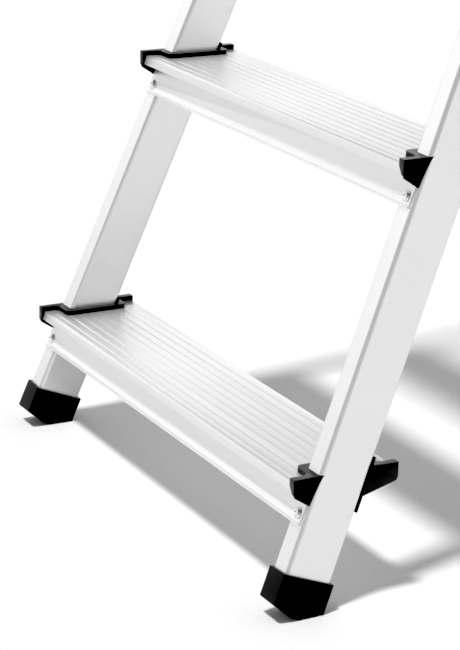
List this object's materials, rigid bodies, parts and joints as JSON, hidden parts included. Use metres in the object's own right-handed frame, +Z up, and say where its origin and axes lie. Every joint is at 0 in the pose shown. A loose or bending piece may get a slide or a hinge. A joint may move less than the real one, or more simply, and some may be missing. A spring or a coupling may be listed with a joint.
{
  "type": "folding stepladder",
  "caption": "Free-standing folding aluminium ladder with deep ribbed treads, black end caps and feet, a fold-up platform, a hinged rear frame and a safety hoop.",
  "frame": {"origin": "on the floor, midway between the front and the rear feet, on the ladder's middle plane", "axes": "+Z up, +Y away from the climber towards the rear frame, +X to the climber's right"},
  "size_m": [0.5176, 0.929, 1.711],
  "materials": {
    "tube_aluminium": "satin mill finish extrusion",
    "tread_aluminium": "satin ribbed extrusion",
    "plastic_black": "moulded, fine texture",
    "rubber_black": "moulded rubber",
    "steel_fastener": "zinc-plated"
  },
  "bodies": {
    "front_section": {"cap_rivets": "steel_fastener", "front_foot_left": "rubber_black", "front_foot_right": "rubber_black", "front_stile_left": "tube_aluminium", "front_stile_right": "tube_aluminium", "head_rivets": "steel_fastener", "hinge_head_left": "plastic_black", "hinge_head_right": "plastic_black", "hinge_pin_left": "steel_fastener", "hinge_pin_right": "steel_fastener", "platform_pin_left": "steel_fastener", "platform_pin_right": "steel_fastener", "platform_spacer_left": "plastic_black", "platform_spacer_right": "plastic_black", "safety_hoop": "tube_aluminium", "tread_1": "tread_aluminium", "tread_2": "tread_aluminium", "tread_3": "tread_aluminium", "tread_4": "tread_aluminium", "tread_cap_1_left": "plastic_black", "tread_cap_1_right": "plastic_black", "tread_cap_2_left": "plastic_black", "tread_cap_2_right": "plastic_black", "tread_cap_3_left": "plastic_black", "tread_cap_3_right": "plastic_black", "tread_cap_4_left": "plastic_black", "tread_cap_4_right": "plastic_black", "tread_rivets": "steel_fastener"},
    "rear_section": {"brace_rivets": "steel_fastener", "brace_sockets": "plastic_black", "hinge_bush_left": "plastic_black", "hinge_bush_right": "plastic_black", "rear_brace_1": "tube_aluminium", "rear_brace_2": "tube_aluminium", "rear_brace_3": "tube_aluminium", "rear_foot_left": "rubber_black", "rear_foot_right": "rubber_black", "rear_leg_left": "tube_aluminium", "rear_leg_plug_left": "plastic_black", "rear_leg_plug_right": "plastic_black", "rear_leg_right": "tube_aluminium", "rest_sockets": "plastic_black", "rest_tube": "tube_aluminium"},
    "platform": {"platform_deck": "tread_aluminium", "platform_rail_left": "plastic_black", "platform_rail_right": "plastic_black"}
  },
  "joints": [
    {"name": "rear_section_fold", "type": "hinge", "parent": "front_section", "child": "rear_section", "pos_m": [0, 0.11781, 1.242], "axis": [-1, 0, 0], "range_deg": [0, 36.6]},
    {"name": "platform_fold", "type": "hinge", "parent": "front_section", "child": "platform", "pos_m": [0, -0.01032, 1.1004], "axis": [1, 0, 0], "range_deg": [0, 68.4]}
  ],
  "couplings": [
    {"joint": "platform_fold", "follows": "rear_section_fold", "ratio": 1.868}
  ]
}
